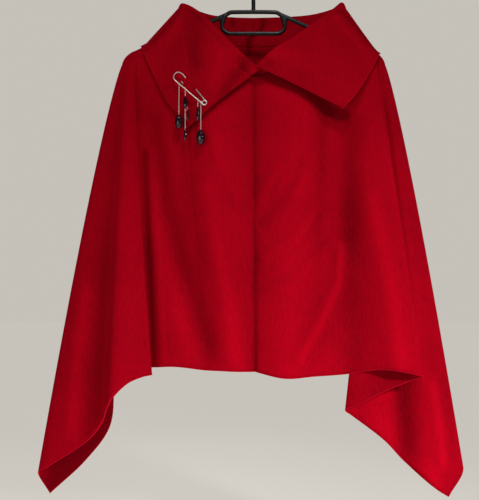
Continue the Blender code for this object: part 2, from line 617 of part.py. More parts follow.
def main():
    for obj in list(bpy.data.objects):
        bpy.data.objects.remove(obj)
    cape = bpy.data.collections.new("Cape on a hanger")
    bpy.context.scene.collection.children.link(cape)

    wool = own_material("Red wool", (0.30, 0.004, 0.012), 0.85)
    plastic = own_material("Black plastic", (0.012, 0.012, 0.013), 0.3)
    steel = own_material("Pin wire", (0.62, 0.60, 0.58), 0.3, 1.0)
    chain = own_material("Fine chain", (0.55, 0.53, 0.52), 0.35, 1.0)
    glass = own_material("Dark glass beads", (0.02, 0.008, 0.015), 0.12)

    front_right = panel_grid("front", -1, FRONT_RIGHT_RAYS)
    front_left = panel_grid("front", 1, FRONT_LEFT_RAYS)
    back_right = panel_grid("back", -1, BACK_RIGHT_RAYS)
    back_left = panel_grid("back", 1, BACK_LEFT_RAYS)
    cloth_wall("front_right", front_right, cape, wool)
    cloth_wall("front_left", front_left, cape, wool)
    cloth_wall("back", np.concatenate([back_right[::-1], back_left[1:]]), cape, wool)
    body = surface_tree([front_right, front_left, back_right, back_left])
    cloth_wall("collar_right", collar_grid(-1, COLLAR_RIGHT, front_right, body), cape, wool)
    cloth_wall("collar_left", collar_grid(1, COLLAR_LEFT, front_left, body), cape, wool)

    hanger_bar(cape, plastic)
    hanger_loop(cape, plastic)
    hanger_hook(cape, plastic)

    tube("pin_wire", pin_wire_points(), WIRE / 2, cape, steel)
    tube("pin_point", [POINT_START, POINT_END], WIRE / 3, cape, steel)
    drops(cape, chain, glass)


main()
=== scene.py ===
# %% [markdown]
# # A red wool cape on a clothes hanger
#
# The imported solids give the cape's size, its folds and the places of its pieces. This lesson dresses
# them: each panel of cloth is remade as a fine sheet on the same folds, and the hanger, the kilt pin
# and its beads get their real roundings and finishes. Everything is in metres, with +Z up and the
# front of the cape towards -Y. Left and right are the wearer's.

# %% Load the frame
import math
from collections import namedtuple

import bmesh
import bpy
import numpy as np
from mathutils import Matrix, Vector
from mathutils.bvhtree import BVHTree


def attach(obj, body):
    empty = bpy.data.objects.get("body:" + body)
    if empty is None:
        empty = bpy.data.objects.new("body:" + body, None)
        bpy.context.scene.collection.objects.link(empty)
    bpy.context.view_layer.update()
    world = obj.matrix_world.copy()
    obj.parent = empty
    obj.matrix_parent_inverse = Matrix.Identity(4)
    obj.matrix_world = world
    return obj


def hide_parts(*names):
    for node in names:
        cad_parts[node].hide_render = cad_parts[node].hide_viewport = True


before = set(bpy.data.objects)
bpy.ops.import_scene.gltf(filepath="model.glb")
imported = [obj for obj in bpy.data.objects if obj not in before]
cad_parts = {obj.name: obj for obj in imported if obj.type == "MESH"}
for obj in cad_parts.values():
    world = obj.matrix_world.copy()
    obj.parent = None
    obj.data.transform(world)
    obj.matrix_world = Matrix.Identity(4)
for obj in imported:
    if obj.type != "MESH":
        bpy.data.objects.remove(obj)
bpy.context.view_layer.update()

# %% [markdown]
# Two helpers are used all through: one adds an object to the scene, one sets a shader node's sockets.

# %% Two small helpers
def added(name, data):
    obj = bpy.data.objects.new(name, data)
    bpy.context.scene.collection.objects.link(obj)
    return obj


def dial(made, values):
    """Sets the sockets of a shader node."""
    for socket, value in values.items():
        made.inputs[socket].default_value = value


# %% [markdown]
# ## The camera
#
# The camera stands in front, a little below the middle of the cape's height, and looks up by almost
# six degrees.

# %% Camera
SENSOR = 36
FOCAL_SHARE = 1.36
LOOKS_UP = 5.66
camera = added("Camera", bpy.data.cameras.new("Camera"))
camera.location = (-0.0236, -1.1057, -0.599)
camera.rotation_euler = (math.radians(90 + LOOKS_UP), 0, 0)
camera.data.sensor_fit = "VERTICAL"
camera.data.sensor_height = SENSOR
camera.data.lens = FOCAL_SHARE * SENSOR
camera.data.clip_start = 0.01
bpy.context.scene.camera = camera
print("lens", round(camera.data.lens, 2), "mm")

# %% [markdown]
# ## Floor and light
#
# The ground is one large pale sheet, and the world has the same tone, so the horizon hardly shows.
# Thick wool needs light from one side, or its folds look flat. The key lamp stands far off to the
# right and is aimed low with a narrow spread, so the lower folds are the brightest and the collar stays
# deep. A small lamp overhead draws the shadows under the collar's edges, a weak fill from the left
# opens the troughs, and one lamp lights the back. The world looks pale to the camera but lights the
# cloth only weakly, which keeps the red deep.

# %% Floor and world
STAGE_TONE = (0.80, 0.765, 0.70)
SEEN_STRENGTH = 0.70
AMBIENT = 0.045
FLOOR_GLOW = 0.70
FLOOR_TONE = (0.30, 0.285, 0.26)
FLOOR_RADIUS = 60
FLOOR_Z = -1.02
ground = bmesh.new()
bmesh.ops.create_circle(ground, cap_ends=True, segments=96, radius=FLOOR_RADIUS)
bmesh.ops.translate(ground, vec=(0, 0, FLOOR_Z), verts=ground.verts)
ground_mesh = bpy.data.meshes.new("floor")
ground.to_mesh(ground_mesh)
ground.free()
floor = added("floor", ground_mesh)
floor_paint = bpy.data.materials.new("Pale floor")
floor_paint.use_nodes = True
dial(floor_paint.node_tree.nodes["Principled BSDF"], {
    "Base Color": (*FLOOR_TONE, 1), "Roughness": 1.0, "Specular IOR Level": 0.0,
    "Emission Color": (*STAGE_TONE, 1), "Emission Strength": FLOOR_GLOW,
})
floor.data.materials.append(floor_paint)

world = bpy.data.worlds.new("Pale room")
bpy.context.scene.world = world
world.use_nodes = True
sky = world.node_tree
seen = sky.nodes["Background"]
dial(seen, {"Color": (*STAGE_TONE, 1), "Strength": SEEN_STRENGTH})
lit = sky.nodes.new("ShaderNodeBackground")
dial(lit, {"Color": (0.80, 0.80, 0.80, 1), "Strength": AMBIENT})
which = sky.nodes.new("ShaderNodeLightPath")
either = sky.nodes.new("ShaderNodeMixShader")
sky.links.new(which.outputs["Is Camera Ray"], either.inputs["Fac"])
sky.links.new(lit.outputs["Background"], either.inputs[1])
sky.links.new(seen.outputs["Background"], either.inputs[2])
sky.links.new(either.outputs["Shader"], sky.nodes["World Output"].inputs["Surface"])
bpy.context.scene.view_settings.view_transform = "Standard"


# %% Lamps
def soft_lamp(name, place, towards, power, size, spread):
    lamp = bpy.data.lights.new(name, "AREA")
    lamp.energy = power
    lamp.size = size
    lamp.spread = math.radians(spread)
    obj = added(name, lamp)
    obj.location = place
    obj.rotation_euler = (Vector(towards) - Vector(place)).to_track_quat("-Z", "Y").to_euler()
    obj.visible_camera = False


soft_lamp("key", (1.70, -2.40, 0.60), (0.09, 0, -1.00), power=2.0, size=0.35, spread=27)
soft_lamp("top", (0.10, -0.66, 0.60), (0, 0, -0.35), power=0.36, size=0.10, spread=60)
soft_lamp("fill", (-1.2, -2.0, -0.4), (-0.05, 0, -0.60), power=0.55, size=0.8, spread=60)
soft_lamp("behind", (-0.5, 2.0, 0.2), (0, 0, -0.45), power=3.5, size=1.2, spread=60)

# %% [markdown]
# ## How the cloth hangs: the measurements
#
# The cape is two fronts and a back, joined along the hanger's arms. From that shoulder line the cloth
# falls in rays that spread towards the hem. Each row below is one ray: where it leaves the shoulder
# (run 0 is the centre of the neck, 1 the neck point, 2 the hanger's tip, 3 the side seam's start) and
# where it meets the hem. Where x turns back, the cloth folds over itself: so the corners fall.

# %% Measurements of cloth, hanger and neck
CLOTH = 0.002
SEAM_GAP = 0.0003
HALF_GAP = SEAM_GAP / 2
SEWN_GAP = 0.00002
SEAM_STRIP = 0.0025
TUBE_RADIUS = 0.0035
BAR_Z = -0.0849
BAR_HALF = 0.037
ARM_TIP_X = 0.197
ARM_SLOPE = math.radians(25.5)
ARM_FALL = math.tan(ARM_SLOPE)
LOOP_Z = -0.1227
LOOP_HALF = 0.053
LOOP_CORNER = 0.014
WEB_RADIUS = 0.0040
HOOK_RADIUS = 0.026
HOOK_CENTRE_Z = TUBE_RADIUS - HOOK_RADIUS
HOOK_STEM_TOP = -0.062
HOOK_JOIN = -50.0
HOOK_END = 200.0
HOOK_EASE = 0.011
NECK_HALF = 0.120
NECK_FRONT = (-0.050, -0.216)
NECK_BACK = (0.052, -0.126)
NECK_SPREAD = 0.8
NECK_RISE = {"front": 1.15, "back": 2.0}
ARM_CLEARANCE = 0.0005
RIDGE_OVER_ARM = (TUBE_RADIUS + ARM_CLEARANCE + CLOTH / 2) / math.cos(ARM_SLOPE)
RIDGE_RISE_AT_NECK = 0.0030
TIP_START_X = 0.196
TIP_RADIUS = 0.017
ROLL_DEPTH = 0.014
ROLL_DROP = 0.014
DEPTH_EASE = 0.6

# %% The rays of the two fronts
Ray = namedtuple("Ray", "name run x y z ease steps")
FRONT_RIGHT_RAYS = [Ray(*row) for row in (
    ("centre seam", 0.00, 0.0000, -0.047, -0.6825, 1.00, 2),
    ("first ridge", 0.50, -0.0441, -0.057, -0.6809, 1.00, 2),
    ("first trough", 1.00, -0.0768, -0.052, -0.6797, 1.00, 2),
    ("second ridge", 1.38, -0.1233, -0.048, -0.6749, 1.00, 2),
    ("valley", 1.62, -0.1640, -0.040, -0.6768, 1.00, 2),
    ("back fold in", 1.84, -0.2400, -0.033, -0.6820, 1.15, 1),
    ("back fold", 1.90, -0.2500, -0.037, -0.6837, 1.20, 1),
    ("back fold out", 1.94, -0.2400, -0.045, -0.6840, 1.20, 2),
    ("front fold in", 2.00, -0.1660, -0.066, -0.6845, 1.20, 1),
    ("front fold", 2.04, -0.1555, -0.072, -0.6850, 1.20, 1),
    ("front fold out", 2.10, -0.1680, -0.080, -0.6875, 1.15, 1),
    ("cascade rise", 2.20, -0.1880, -0.088, -0.6960, 1.00, 1),
    ("cascade ridge", 2.30, -0.2110, -0.088, -0.7180, 0.95, 1),
    ("ridge flank", 2.36, -0.2210, -0.079, -0.7355, 0.95, 1),
    ("cascade hollow", 2.42, -0.2290, -0.068, -0.7550, 0.92, 1),
    ("cascade face", 2.52, -0.2540, -0.052, -0.7853, 0.90, 2),
    ("outer fold in", 2.64, -0.3190, -0.042, -0.8280, 0.84, 1),
    ("outer fold", 2.70, -0.3320, -0.034, -0.8361, 0.83, 2),
    ("corner", 2.76, -0.3173, -0.020, -0.8703, 0.83, 2),
    ("side edge", 2.84, -0.2640, -0.014, -0.8211, 0.90, 1),
    ("inner turn", 2.92, -0.2290, -0.009, -0.7720, 0.95, 1),
    ("side seam", 3.00, -0.2250, 0.000, -0.7150, 0.95, 0),
)]
FRONT_LEFT_RAYS = [Ray(*row) for row in (
    ("centre seam", 0.00, 0.0000, -0.047, -0.6825, 1.00, 2),
    ("first swell", 0.55, 0.0454, -0.058, -0.6920, 1.00, 2),
    ("first trough", 1.00, 0.0900, -0.050, -0.6895, 1.00, 2),
    ("second trough", 1.30, 0.1387, -0.046, -0.6864, 1.00, 2),
    ("long ridge", 1.65, 0.1961, -0.066, -0.6781, 1.00, 2),
    ("front fold in", 1.95, 0.2450, -0.072, -0.6860, 0.95, 1),
    ("front fold", 2.05, 0.2540, -0.066, -0.6885, 0.95, 1),
    ("front fold out", 2.12, 0.2440, -0.059, -0.6925, 0.95, 2),
    ("behind", 2.20, 0.2006, -0.053, -0.7103, 1.00, 2),
    ("back fold out", 2.26, 0.1500, -0.050, -0.7350, 1.10, 1),
    ("back fold", 2.32, 0.1390, -0.044, -0.7410, 1.10, 1),
    ("back fold in", 2.36, 0.1500, -0.038, -0.7500, 1.10, 1),
    ("cascade face", 2.44, 0.2000, -0.036, -0.7880, 1.00, 1),
    ("cascade valley", 2.52, 0.2330, -0.026, -0.8221, 0.95, 1),
    ("cascade ridge", 2.60, 0.2750, -0.034, -0.8590, 0.88, 1),
    ("corner", 2.66, 0.2975, -0.028, -0.8735, 0.84, 2),
    ("outer fold", 2.74, 0.3250, -0.016, -0.8322, 0.83, 2),
    ("outer fold in", 2.82, 0.3030, -0.005, -0.8000, 0.83, 1),
    ("side seam", 3.00, 0.2350, 0.000, -0.7150, 0.95, 0),
)]
print(len(FRONT_RIGHT_RAYS), "and", len(FRONT_LEFT_RAYS), "rays in the fronts")

# %% [markdown]
# The back is finished plainly, with the same kind of folds and corners, a little smaller.

# %% The rays of the back
BACK_RIGHT_RAYS = [Ray(*row) for row in (
    ("centre", 0.00, 0.0000, 0.050, -0.6800, 1.00, 2),
    ("first ridge", 0.60, -0.0520, 0.062, -0.6790, 1.00, 2),
    ("first trough", 1.00, -0.1020, 0.050, -0.6780, 1.00, 2),
    ("second ridge", 1.50, -0.1550, 0.068, -0.6770, 1.00, 2),
    ("back fold in", 1.92, -0.2400, 0.072, -0.6800, 0.95, 1),
    ("back fold", 2.05, -0.2490, 0.066, -0.6810, 0.95, 1),
    ("back fold out", 2.12, -0.2400, 0.059, -0.6830, 0.95, 2),
    ("front fold out", 2.26, -0.2080, 0.047, -0.6900, 1.05, 1),
    ("front fold", 2.32, -0.1980, 0.041, -0.6930, 1.05, 1),
    ("front fold in", 2.38, -0.2080, 0.035, -0.6980, 1.05, 1),
    ("cascade face", 2.50, -0.2500, 0.031, -0.7600, 0.95, 1),
    ("cascade ridge", 2.60, -0.2850, 0.038, -0.8150, 0.88, 1),
    ("corner", 2.70, -0.3120, 0.028, -0.8520, 0.84, 2),
    ("outer fold", 2.78, -0.3180, 0.017, -0.8150, 0.84, 2),
    ("outer fold in", 2.86, -0.2900, 0.006, -0.7750, 0.85, 1),
    ("side seam", 3.00, -0.2250, 0.000, -0.7150, 0.95, 0),
)]
BACK_LEFT_RAYS = [Ray(*row) for row in (
    ("centre", 0.00, 0.0000, 0.050, -0.6800, 1.00, 2),
    ("first ridge", 0.50, 0.0420, 0.060, -0.6790, 1.00, 2),
    ("first trough", 1.00, 0.0950, 0.048, -0.6780, 1.00, 2),
    ("second ridge", 1.55, 0.1600, 0.070, -0.6770, 1.00, 2),
    ("back fold in", 1.92, 0.2380, 0.072, -0.6800, 0.95, 1),
    ("back fold", 2.05, 0.2480, 0.066, -0.6820, 0.95, 1),
    ("back fold out", 2.12, 0.2380, 0.059, -0.6850, 0.95, 2),
    ("front fold out", 2.26, 0.1800, 0.047, -0.7000, 1.05, 1),
    ("front fold", 2.32, 0.1690, 0.041, -0.7050, 1.05, 1),
    ("front fold in", 2.38, 0.1800, 0.035, -0.7120, 1.05, 1),
    ("cascade face", 2.50, 0.2350, 0.031, -0.7800, 0.95, 1),
    ("cascade ridge", 2.60, 0.2700, 0.038, -0.8180, 0.88, 1),
    ("corner", 2.70, 0.3020, 0.028, -0.8480, 0.84, 2),
    ("outer fold", 2.78, 0.3140, 0.018, -0.8150, 0.84, 2),
    ("outer fold in", 2.86, 0.2920, 0.006, -0.7780, 0.85, 1),
    ("side seam", 3.00, 0.2350, 0.000, -0.7150, 0.95, 0),
)]
print(len(BACK_RIGHT_RAYS), "and", len(BACK_LEFT_RAYS), "rays in the back")

# %% [markdown]
# ## Curves that carry the cloth
#
# Small functions place the shoulder line: over the hanger's arm, round its tip, and along the neck. A
# spline runs through the rays' hem points, so that folds turn round. Only the corners stay sharp.


# %% Shoulder line and spline
def arm_z(x):
    return BAR_Z - (abs(x) - BAR_HALF) * ARM_FALL


def ridge_z(x):
    lifted = RIDGE_RISE_AT_NECK * (TIP_START_X - abs(x)) / (TIP_START_X - NECK_HALF)
    return arm_z(x) + RIDGE_OVER_ARM + lifted


def neck_point(face, side, run):
    centre_y, centre_z = NECK_FRONT if face == "front" else NECK_BACK
    rise = run ** NECK_RISE[face]
    z = centre_z + (ridge_z(NECK_HALF) - centre_z) * rise
    return np.array([side * NECK_HALF * run**NECK_SPREAD, centre_y * (1 - run**3), z])


def shoulder_point(face, side, run):
    if run < 1:
        point = neck_point(face, side, run)
    elif run < 2:
        x = NECK_HALF + (TIP_START_X - NECK_HALF) * (run - 1)
        point = np.array([side * x, 0.0, ridge_z(x)])
    else:
        slope = math.atan(ARM_FALL)
        centre_x = TIP_START_X - TIP_RADIUS * math.sin(slope)
        centre_z = ridge_z(TIP_START_X) - TIP_RADIUS * math.cos(slope)
        turn = (math.pi / 2 - slope) * (3 - run)
        x = centre_x + TIP_RADIUS * math.cos(turn)
        point = np.array([side * x, 0.0, centre_z + TIP_RADIUS * math.sin(turn)])
    if run >= 1 or face == "back":
        point[1] += (-HALF_GAP if face == "front" else HALF_GAP) * min(1.0, run)
    return point


def through(rows, steps, sharp=()):
    """A smooth curve through rows of numbers, with the given steps from each row to the next.

    The rows in sharp are true corners: the curve arrives and leaves in a straight line there.
    """
    rows = np.array(rows, float)
    chord = np.linalg.norm(np.diff(rows[:, :3], axis=0), axis=1) ** 0.5
    slope = np.diff(rows, axis=0) / chord[:, None]
    before, after = chord[:-1, None], chord[1:, None]
    inner = (slope[:-1] * after + slope[1:] * before) / (before + after)
    arrives = np.concatenate([slope[:1], inner, slope[-1:]])
    leaves = arrives.copy()
    for i in sharp:
        arrives[i], leaves[i] = slope[i - 1], slope[i]
    found = []
    for i, count in enumerate(steps[: len(rows) - 1]):
        for t in np.arange(count) / count:
            found.append(
                (2 * t**3 - 3 * t**2 + 1) * rows[i]
                + (t**3 - 2 * t**2 + t) * chord[i] * leaves[i]
                + (3 * t**2 - 2 * t**3) * rows[i + 1]
                + (t**3 - t**2) * chord[i] * arrives[i + 1]
            )
    found.append(rows[-1])
    return np.array(found)


print("shoulder line ends at", shoulder_point("front", 1, 3.0).round(3))

# %% [markdown]
# ## Creases laid on the folds
#
# Thick felted wool has few creases, and they are soft: long shallow troughs that start under the
# collar or at a fold and fade out. Each one is a line across the cloth as seen from the front, with a
# width and a depth. A positive depth presses the cloth in, a negative one lifts a ridge. `low` and
# `high` say on which part of the run it lies, so that a crease on one layer doesn't mark the others.

# %% Crease tables
Crease = namedtuple("Crease", "low high width depth points")
FRONT_CREASES = [Crease(*row) for row in (
    # The seam's groove
    (0.0, 1.0, 0.0036, 0.0024, ((0.0, -0.20), (0.0, -0.70))),
    # Right front: two troughs beside the fold, the ridges next to them, and faint lines
    (0.0, 1.75, 0.0075, 0.0075,
     ((-0.180, -0.334), (-0.174, -0.446), (-0.168, -0.552), (-0.161, -0.674))),
    (0.0, 1.75, 0.0060, -0.0012, ((-0.158, -0.383), (-0.149, -0.552), (-0.141, -0.682))),
    (0.0, 1.75, 0.0190, 0.0120,
     ((-0.166, -0.283), (-0.143, -0.423), (-0.115, -0.521), (-0.095, -0.585), (-0.074, -0.649))),
    (0.0, 1.75, 0.0120, -0.0035, ((-0.104, -0.300), (-0.100, -0.380), (-0.092, -0.460))),
    (0.0, 1.75, 0.0170, -0.0050,
     ((-0.080, -0.400), (-0.062, -0.495), (-0.042, -0.572), (-0.026, -0.671))),
    (0.0, 1.75, 0.0060, 0.0016, ((-0.078, -0.325), (-0.037, -0.424), (-0.012, -0.437))),
    (0.0, 1.75, 0.0090, -0.0018, ((-0.067, -0.309), (-0.056, -0.369))),
    # Left front: faint diagonals beside the seam, then a broad trough and a broad ridge
    (0.0, 1.75, 0.0070, -0.0034, ((0.004, -0.427), (0.027, -0.378), (0.042, -0.365))),
    (0.0, 1.75, 0.0080, 0.0045, ((0.010, -0.451), (0.051, -0.410), (0.075, -0.359))),
    (0.0, 1.75, 0.0080, -0.0038, ((0.016, -0.507), (0.066, -0.479), (0.101, -0.424))),
    (0.0, 1.75, 0.0080, 0.0038, ((0.005, -0.554), (0.050, -0.535), (0.114, -0.481))),
    (0.0, 1.75, 0.0080, -0.0060, ((0.070, -0.661), (0.100, -0.608), (0.129, -0.552), (0.136, -0.489))),
    (0.0, 1.75, 0.0180, 0.0080, ((0.161, -0.288), (0.151, -0.400), (0.148, -0.470))),
    (0.0, 1.75, 0.0180, 0.0020, ((0.148, -0.480), (0.150, -0.572), (0.152, -0.682))),
    (0.0, 1.90, 0.0180, -0.0070, ((0.183, -0.417), (0.205, -0.557), (0.214, -0.671))),
    # The layers of the left cascade, from the front one to the corner
    (2.10, 2.34, 0.0090, 0.0070, ((0.220, -0.343), (0.240, -0.465), (0.260, -0.585))),
    (2.40, 2.62, 0.0150, 0.0050, ((0.229, -0.693), (0.233, -0.757), (0.237, -0.809))),
    (2.40, 2.72, 0.0120, -0.0090, ((0.278, -0.711), (0.286, -0.772), (0.289, -0.824))),
    # The right cascade, behind its ridge
    (2.40, 2.66, 0.0140, 0.0020,
     ((-0.241, -0.369), (-0.243, -0.495), (-0.243, -0.649), (-0.246, -0.746))),
    (2.40, 2.70, 0.0130, -0.0050, ((-0.266, -0.557), (-0.276, -0.664), (-0.282, -0.770))),
)]
BACK_CREASES = [Crease(*row) for row in (
    (0.2, 1.9, 0.018, 0.0045, ((-0.120, -0.27), (-0.090, -0.45), (-0.070, -0.60))),
    (0.3, 1.9, 0.015, -0.0030, ((0.060, -0.30), (0.045, -0.48), (0.050, -0.66))),
    (0.3, 1.9, 0.018, 0.0040, ((0.150, -0.28), (0.135, -0.45), (0.130, -0.64))),
)]
RUN_EASE = 0.1


def crease_depth(creases, x, z, run):
    """How far the creases press the cloth in at x and z, for arrays of points."""
    total = np.zeros_like(x)
    for crease in creases:
        nearest = np.full_like(x, np.inf)
        for (ax, az), (bx, bz) in zip(crease.points[:-1], crease.points[1:]):
            along_x, along_z = bx - ax, bz - az
            share = ((x - ax) * along_x + (z - az) * along_z) / (along_x**2 + along_z**2)
            share = np.clip(share, 0, 1)
            nearest = np.minimum(nearest, np.hypot(x - ax - share * along_x, z - az - share * along_z))
        inside = np.clip((run - crease.low) / RUN_EASE + 1, 0, 1)
        inside = inside * np.clip((crease.high - run) / RUN_EASE + 1, 0, 1)
        total += crease.depth * np.exp(-((nearest / crease.width) ** 2)) * inside
    return total


print(len(FRONT_CREASES) + len(BACK_CREASES), "creases")

# %% [markdown]
# ## One panel as a grid of points
#
# The panel is a grid: across it go the rays, down it the rings. `FINER` sets how many columns lie
# between two rows of the table. Next to each seam the cloth runs straight out for a few millimetres,
# so that the two panels meet edge to edge, as a sewn seam does.

# %% Panel grid
FINER = 7
RINGS = 75
RING_CROWDING = 1.15
SHARES = np.linspace(0, 1, RINGS + 1)[1:] ** RING_CROWDING
ROLL_RINGS = 9
BELOW_ROLL = ROLL_RINGS + 1
SIDE_SEAM_RUN = 2.85
SIDE_SEAM_BEND = 0.3


def on_panel(creases, grid, runs):
    return crease_depth(creases, grid[..., 0], grid[..., 2], runs[:, None] + 0 * grid[..., 0])


def panel_grid(face, side, rays, creases):
    outward = -1 if face == "front" else 1
    table = [(r.x, r.y, r.z, r.run, r.ease) for r in rays]
    corners = [i for i, r in enumerate(rays) if r.name == "corner"]
    columns = through(table, [r.steps * FINER for r in rays], corners)
    runs = columns[:, 3]
    grid = []
    for x, y, z, run, ease in columns:
        start = shoulder_point(face, side, run)
        turn = max(0.0, run - 2) * math.pi / 2
        depth = ROLL_DEPTH * min(1.0, run)
        ray = [start]
        start = start + np.array([0.0, outward * SEAM_STRIP * min(1.0, run), 0.0])
        start[2] -= SEAM_STRIP * max(0.0, 1 - run)
        for angle in np.radians(np.linspace(0, 90, ROLL_RINGS)):
            reach = depth * math.sin(angle)
            across, out = side * math.sin(turn) * reach, outward * math.cos(turn) * reach
            ray.append(start + np.array([across, out, -ROLL_DROP * (1 - math.cos(angle))]))
        root, hem = ray[-1], np.array([x, y, z])
        for share in SHARES:
            ray.append(root + (hem - root) * np.array([share**ease, share**DEPTH_EASE, share]))
        grid.append(ray)
    grid = np.array(grid)
    grid[:, 1:, 1] -= outward * on_panel(creases, grid, runs)[:, 1:]
    near_seam = runs > SIDE_SEAM_RUN
    grid[near_seam, 1:, 1] = outward * np.maximum(outward * grid[near_seam, 1:, 1], SEAM_STRIP)
    grid[-1, :, 1] = outward * HALF_GAP
    grid[-1, 1] = grid[-1, 0] + (grid[-1, 2] - grid[-1, 0]) * SIDE_SEAM_BEND
    if face == "front":
        beside_centre = grid[0] + np.array([side * SEAM_STRIP, 0.0, 0.0])
        grid[0, :, 0] = side * SEWN_GAP
        grid = np.concatenate([grid[:1], [beside_centre], grid[1:]])
        runs = np.concatenate([runs[:1], runs[:1], runs[1:]])
    return grid, runs


front_right, front_right_runs = panel_grid("front", -1, FRONT_RIGHT_RAYS, FRONT_CREASES)
front_left, front_left_runs = panel_grid("front", 1, FRONT_LEFT_RAYS, FRONT_CREASES)
back_right = panel_grid("back", -1, BACK_RIGHT_RAYS, BACK_CREASES)[0]
back_left = panel_grid("back", 1, BACK_LEFT_RAYS, BACK_CREASES)[0]
back_grid = np.concatenate([back_right[::-1], back_left[1:]])
for name, grid in (("right front", front_right), ("left front", front_left), ("back", back_grid)):
    print(name, "grid", grid.shape[:2])

# %% [markdown]
# ## From grid to cloth
#
# A flat bmesh grid is made, and each of its points is moved to its place on the folds. The sheet
# carries a UV map in metres of cloth and two attributes. `raw_edge` says how near a point is to a cut
# edge, because the cut edge of this wool is paler. The other says how far a point stands out from the
# cloth round it, and the colour uses it as painted light and shade: lighter on a ridge, darker in a
# trough. Solidify gives the sheet its two millimetres.


# %% Cloth sheet
RELIEF_SPAN = 14


def relief_of(grid):
    """How far each point stands out from the mean of the columns round it."""
    outward = math.copysign(1, grid[:, -1, 1].mean())
    padded = np.pad(grid[..., 1], ((RELIEF_SPAN, RELIEF_SPAN), (0, 0)), mode="reflect")
    window = np.hanning(2 * RELIEF_SPAN + 3)[1:-1]
    mean = np.apply_along_axis(lambda row: np.convolve(row, window / window.sum(), "valid"), 0, padded)
    return outward * (grid[..., 1] - mean)


def from_hem(grid):
    """Distance of each point from the hem, measured down its own ray."""
    step = np.linalg.norm(np.diff(grid, axis=1), axis=2)
    left = np.cumsum(step[:, ::-1], axis=1)[:, ::-1]
    return np.concatenate([left, np.zeros((len(grid), 1))], axis=1)


def path_lengths(points):
    """How far each point lies along the line that runs through all of them."""
    return np.concatenate([[0], np.cumsum(np.linalg.norm(np.diff(points, axis=0), axis=1))])


def cloth_piece(name, grid, painted_shade=0.0):
    """A sheet on the grid's points. Its colour is painted lighter on ridges and darker in troughs, and darker
    still by the painted shade given.
    """
    across, down = grid.shape[:2]
    sheet = bmesh.new()
    bmesh.ops.create_grid(sheet, x_segments=across - 1, y_segments=down - 1, size=0.5)
    raw = sheet.verts.layers.float.new("raw_edge")
    painted_shading_layer = sheet.verts.layers.float.new("painted_shading")
    # Painted light and shade: the folds' own relief, less any extra painted shade, is stored for the colour.
    edge_distance, painted_shading = from_hem(grid), relief_of(grid) - painted_shade
    uv = sheet.loops.layers.uv.new("Cloth")
    width, length = path_lengths(grid[:, -1]), path_lengths(grid[across // 4])
    places = {}
    for vert in sheet.verts:
        i = round((vert.co.x + 0.5) * (across - 1))
        j = round((vert.co.y + 0.5) * (down - 1))
        places[vert] = (i, j)
    for vert, (i, j) in places.items():
        vert.co = grid[i, j]
        vert[raw] = float(edge_distance[i, j])
        vert[painted_shading_layer] = float(painted_shading[i, j])
    for face in sheet.faces:
        for loop in face.loops:
            i, j = places[loop.vert]
            loop[uv].uv = (width[i], length[j])
    area = sum(face.calc_area() for face in sheet.faces)
    mesh = bpy.data.meshes.new(name)
    bmesh.ops.recalc_face_normals(sheet, faces=sheet.faces)
    sheet.to_mesh(mesh)
    sheet.free()
    mesh.shade_smooth()
    obj = added(name, mesh)
    mesh.materials.append(wool)
    mesh.materials.append(cut_wool)
    wall = obj.modifiers.new("Cloth thickness", "SOLIDIFY")
    wall.thickness = CLOTH
    wall.offset = 0.0
    wall.material_offset_rim = 1
    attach(obj, "cape")
    print(name, "has", round(area, 4), "square metres of cloth,", len(mesh.polygons), "faces")
    return obj


# %% [markdown]
# ## The wool
#
# Felted wool is matt, with a short nap that catches light at a grazing angle and makes the edges of
# each fold glow. The base colour varies a little in clouds, as the nap lies this way and that, a fine
# bump breaks the light into fibres, and sheen gives the glow. Small functions make the shader nodes.


# %% Building a material
def node(tree, kind, **values):
    made = tree.nodes.new(kind)
    for key, value in values.items():
        if key in made.inputs:
            made.inputs[key].default_value = value
        else:
            setattr(made, key, value)
    return made


def new_material(name):
    """A material, its node tree, its shader and its object coordinates."""
    material = bpy.data.materials.new(name)
    material.use_nodes = True
    tree = material.node_tree
    return material, tree, tree.nodes["Principled BSDF"], node(tree, "ShaderNodeTexCoord").outputs["Object"]


def noise(tree, place, scale, detail, roughness=0.5):
    made = node(tree, "ShaderNodeTexNoise", Scale=scale, Detail=detail, Roughness=roughness)
    tree.links.new(place, made.inputs["Vector"])
    return made.outputs["Fac"]


def ranged(tree, value, start, end, low, high):
    """Maps a value that runs from start to end onto low to high."""
    made = node(tree, "ShaderNodeMapRange")
    dial(made, {"From Min": start, "From Max": end, "To Min": low, "To Max": high})
    tree.links.new(value, made.inputs["Value"])
    return made.outputs["Result"]


def toned(tree, share, dark, light, start=0.0, end=1.0):
    """A colour that goes from dark to light while the share goes from start to end."""
    made = node(tree, "ShaderNodeValToRGB")
    for element, position, colour in zip(made.color_ramp.elements, (start, end), (dark, light)):
        element.position = position
        element.color = (*colour, 1)
    tree.links.new(share, made.inputs["Fac"])
    return made.outputs["Color"]


def bumped(tree, height, strength, distance, normal=None):
    made = node(tree, "ShaderNodeBump", Strength=strength, Distance=distance)
    tree.links.new(height, made.inputs["Height"])
    if normal is not None:
        tree.links.new(normal, made.inputs["Normal"])
    return made.outputs["Normal"]


# %% Wool material
EDGE_LINE = (0.0005, 0.0018)
PAINTED_SHADE_RANGE = 0.010
NAP_LENGTHENED = (1.0, 1.0, 0.22)
NAP_SHARE = 0.6
CLOUD_SCALE = 9.0
NAP_SCALE = 420.0
FIBRE_SCALE = 1900.0


